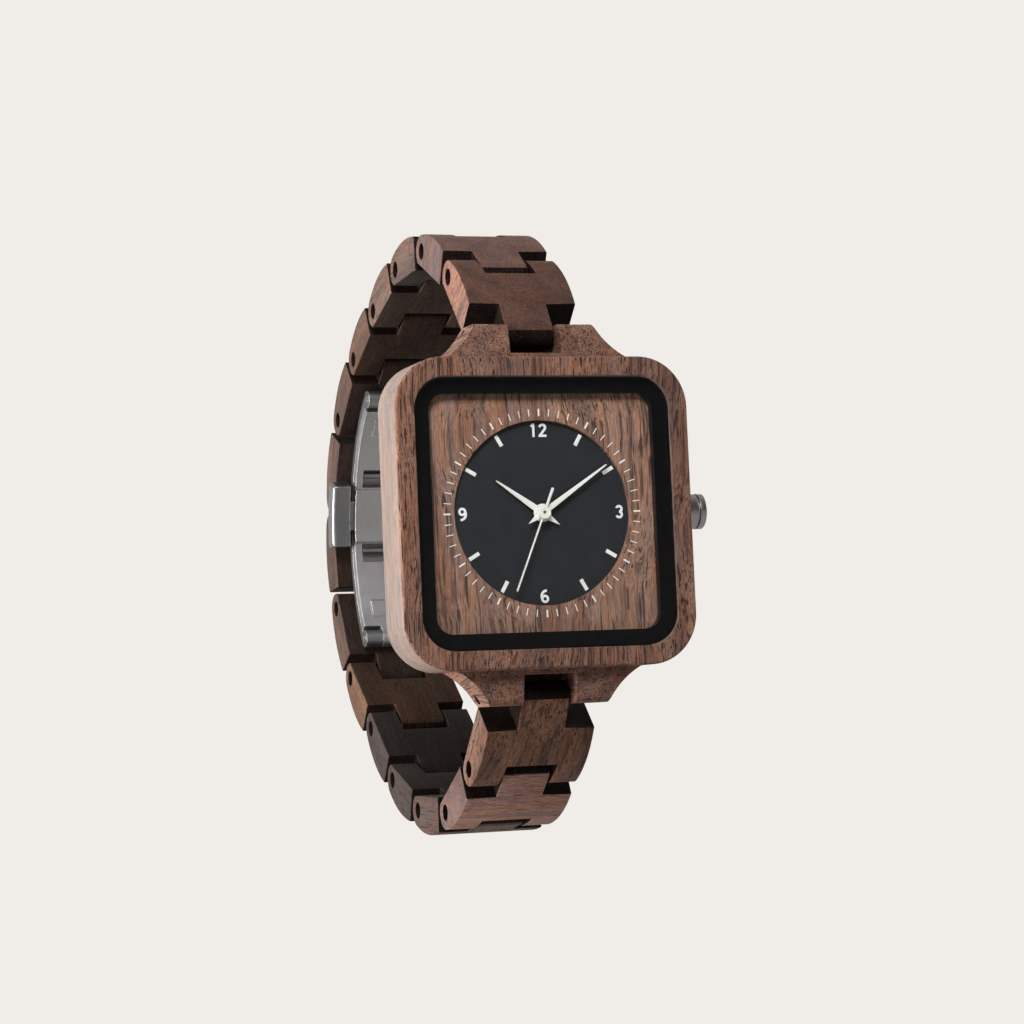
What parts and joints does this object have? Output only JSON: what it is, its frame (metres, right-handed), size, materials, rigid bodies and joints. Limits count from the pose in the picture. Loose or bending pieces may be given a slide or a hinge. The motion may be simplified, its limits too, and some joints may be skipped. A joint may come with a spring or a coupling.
{
  "type": "wristwatch",
  "caption": "Square wooden wristwatch with an analogue dial, a pull-out crown and a wooden link bracelet closed by a folding butterfly clasp.",
  "frame": {"origin": "centre of the case back's flat face, where it rests on the wrist", "axes": "+Z points to twelve o'clock, +X to the crown, and +Y out of the case back into the bracelet's loop; the dial faces -Y"},
  "size_m": [0.0374, 0.0676, 0.0703],
  "materials": {
    "walnut": "satin",
    "dial_wood": "satin",
    "crystal_glass": "polished",
    "black_frame": "satin",
    "dial_black": "matte",
    "white_paint": "satin",
    "clasp_steel": "satin",
    "gunmetal": "satin",
    "pin_steel": "polished",
    "black_rubber": "matte",
    "wheel_brass": "satin",
    "holder_plastic": "matte",
    "board_green": "gloss",
    "copper_wire": "satin"
  },
  "bodies": {
    "watch_head": {"case_frame": "walnut", "case_back": "clasp_steel", "back_screws": "pin_steel", "back_gasket": "black_rubber", "crystal": "crystal_glass", "dial_mask": "black_frame", "dial_plate": "dial_wood", "dial_disc": "dial_black", "dial_markers": "white_paint", "movement_ring": "holder_plastic", "main_plate": "wheel_brass", "train_bridge": "wheel_brass", "battery": "pin_steel", "battery_strap": "pin_steel", "circuit_board": "board_green", "step_motor": "copper_wire", "crown_tube": "pin_steel"},
    "seconds": {"second_hand": "white_paint", "seconds_wheel": "wheel_brass"},
    "minutes": {"minute_hand": "white_paint", "cannon_pinion": "wheel_brass"},
    "hours": {"hour_hand": "white_paint", "hour_wheel": "wheel_brass"},
    "intermediate_wheel": {"minute_wheel": "wheel_brass"},
    "setting_lever": {"setting_lever": "pin_steel"},
    "crown": {"crown": "gunmetal", "winding_stem": "pin_steel", "crown_gasket": "black_rubber"},
    "clasp_plate": {"clasp_plate": "clasp_steel", "clasp_hinge_pins": "pin_steel", "button_spring": "pin_steel"},
    "clasp_upper_blade": {"clasp_upper_blade": "clasp_steel"},
    "clasp_lower_blade": {"clasp_lower_blade": "clasp_steel", "pin_lower_end": "pin_steel"},
    "left_button": {"clasp_button_left": "gunmetal"},
    "right_button": {"clasp_button_right": "gunmetal"},
    "upper_link_1": {"link_upper_1": "walnut", "pins_upper_1": "pin_steel"},
    "upper_link_2": {"link_upper_2": "walnut"},
    "upper_link_3": {"link_upper_3": "walnut", "pins_upper_3": "pin_steel"},
    "upper_link_4": {"link_upper_4": "walnut"},
    "upper_link_5": {"link_upper_5": "walnut", "pins_upper_5": "pin_steel"},
    "upper_link_6": {"link_upper_6": "walnut"},
    "upper_link_7": {"link_upper_7": "walnut", "pins_upper_7": "pin_steel"},
    "lower_link_1": {"link_lower_1": "walnut", "pins_lower_1": "pin_steel"},
    "lower_link_2": {"link_lower_2": "walnut"},
    "lower_link_3": {"link_lower_3": "walnut", "pins_lower_3": "pin_steel"},
    "lower_link_4": {"link_lower_4": "walnut"},
    "lower_link_5": {"link_lower_5": "walnut", "pins_lower_5": "pin_steel"},
    "lower_link_6": {"link_lower_6": "walnut"},
    "lower_link_7": {"link_lower_7": "walnut", "pins_lower_7": "pin_steel"},
    "lower_link_8": {"link_lower_8": "walnut"}
  },
  "joints": [
    {"name": "upper_lug_hinge", "type": "hinge", "parent": "watch_head", "child": "upper_link_1", "pos_m": [0, -0.0027, 0.0202], "axis": [1, 0, 0], "range_deg": [0, 46.9]},
    {"name": "upper_hinge_1", "type": "hinge", "parent": "upper_link_1", "child": "upper_link_2", "pos_m": [0, 0.00458, 0.02777], "axis": [1, 0, 0], "range_deg": [0, 23.7]},
    {"name": "upper_hinge_2", "type": "hinge", "parent": "upper_link_2", "child": "upper_link_3", "pos_m": [0, 0.01407, 0.03226], "axis": [1, 0, 0], "range_deg": [0, 31]},
    {"name": "upper_hinge_3", "type": "hinge", "parent": "upper_link_3", "child": "upper_link_4", "pos_m": [0, 0.02456, 0.03178], "axis": [1, 0, 0], "range_deg": [0, 20.1]},
    {"name": "upper_hinge_4", "type": "hinge", "parent": "upper_link_4", "child": "upper_link_5", "pos_m": [0, 0.03444, 0.02823], "axis": [1, 0, 0], "range_deg": [0, 10.2]},
    {"name": "upper_hinge_5", "type": "hinge", "parent": "upper_link_5", "child": "upper_link_6", "pos_m": [0, 0.0438, 0.02348], "axis": [1, 0, 0], "range_deg": [0, 16.1]},
    {"name": "upper_hinge_6", "type": "hinge", "parent": "upper_link_6", "child": "upper_link_7", "pos_m": [0, 0.05185, 0.01674], "axis": [1, 0, 0], "range_deg": [0, 26.6]},
    {"name": "clasp_open", "type": "hinge", "parent": "upper_link_7", "child": "clasp_upper_blade", "pos_m": [0, 0.05653, 0.00734], "axis": [1, 0, 0], "range_deg": [0, 115]},
    {"name": "clasp_upper_fold", "type": "hinge", "parent": "clasp_upper_blade", "child": "clasp_plate", "pos_m": [0, 0.04479, 0.01855], "axis": [1, 0, 0], "range_deg": [-115, 0]},
    {"name": "clasp_lower_fold", "type": "hinge", "parent": "clasp_plate", "child": "clasp_lower_blade", "pos_m": [0, 0.05005, -0.0113], "axis": [1, 0, 0], "range_deg": [-115, 0]},
    {"name": "lower_end_hinge", "type": "hinge", "parent": "clasp_lower_blade", "child": "lower_link_8", "pos_m": [0, 0.05725, 0.00325], "axis": [1, 0, 0], "range_deg": [0, 115]},
    {"name": "lower_hinge_7", "type": "hinge", "parent": "lower_link_8", "child": "lower_link_7", "pos_m": [0, 0.05607, -0.00718], "axis": [1, 0, 0], "range_deg": [0, 26.6]},
    {"name": "lower_hinge_6", "type": "hinge", "parent": "lower_link_7", "child": "lower_link_6", "pos_m": [0, 0.05082, -0.01627], "axis": [1, 0, 0], "range_deg": [0, 25.1]},
    {"name": "lower_hinge_5", "type": "hinge", "parent": "lower_link_6", "child": "lower_link_5", "pos_m": [0, 0.04253, -0.02272], "axis": [1, 0, 0], "range_deg": [0, 3.7]},
    {"name": "lower_hinge_4", "type": "hinge", "parent": "lower_link_5", "child": "lower_link_4", "pos_m": [0, 0.03417, -0.02908], "axis": [1, 0, 0], "range_deg": [0, 20.5]},
    {"name": "lower_hinge_3", "type": "hinge", "parent": "lower_link_4", "child": "lower_link_3", "pos_m": [0, 0.02429, -0.03263], "axis": [1, 0, 0], "range_deg": [0, 22]},
    {"name": "lower_hinge_2", "type": "hinge", "parent": "lower_link_3", "child": "lower_link_2", "pos_m": [0, 0.01379, -0.03277], "axis": [1, 0, 0], "range_deg": [0, 31.9]},
    {"name": "lower_hinge_1", "type": "hinge", "parent": "lower_link_2", "child": "lower_link_1", "pos_m": [0, 0.00453, -0.02781], "axis": [1, 0, 0], "range_deg": [0, 21.3]},
    {"name": "second_hand_turn", "type": "hinge", "parent": "watch_head", "child": "seconds", "pos_m": [0, -0.00582, 0], "axis": [0, 1, 0], "continuous": true},
    {"name": "minute_hand_turn", "type": "hinge", "parent": "watch_head", "child": "minutes", "pos_m": [0, -0.00582, 0], "axis": [0, 1, 0], "continuous": true},
    {"name": "hour_hand_turn", "type": "hinge", "parent": "watch_head", "child": "hours", "pos_m": [0, -0.00582, 0], "axis": [0, 1, 0], "continuous": true},
    {"name": "intermediate_wheel_turn", "type": "hinge", "parent": "watch_head", "child": "intermediate_wheel", "pos_m": [0, -0.00468, 0.0024], "axis": [0, 1, 0], "continuous": true},
    {"name": "crown_pull", "type": "slide", "parent": "watch_head", "child": "setting_lever", "axis": [1, 0, 0], "range_m": [0, 0.001]},
    {"name": "crown_turn", "type": "hinge", "parent": "setting_lever", "child": "crown", "pos_m": [0.01725, -0.0038, 0], "axis": [1, 0, 0], "continuous": true},
    {"name": "left_button_press", "type": "slide", "parent": "clasp_plate", "child": "left_button", "axis": [1, 0, 0], "range_m": [0, 0.0005], "stiffness_N_per_m": 300},
    {"name": "right_button_press", "type": "slide", "parent": "clasp_plate", "child": "right_button", "axis": [-1, 0, 0], "range_m": [0, 0.0005], "stiffness_N_per_m": 300}
  ],
  "couplings": [
    {"joint": "minute_hand_turn", "follows": "second_hand_turn", "ratio": 0.016667},
    {"joint": "hour_hand_turn", "follows": "second_hand_turn", "ratio": 0.0013889},
    {"joint": "intermediate_wheel_turn", "follows": "second_hand_turn", "ratio": -0.0055556},
    {"joint": "clasp_upper_fold", "follows": "clasp_open", "ratio": -1},
    {"joint": "clasp_lower_fold", "follows": "clasp_open", "ratio": -1},
    {"joint": "lower_end_hinge", "follows": "clasp_open", "ratio": 1}
  ]
}
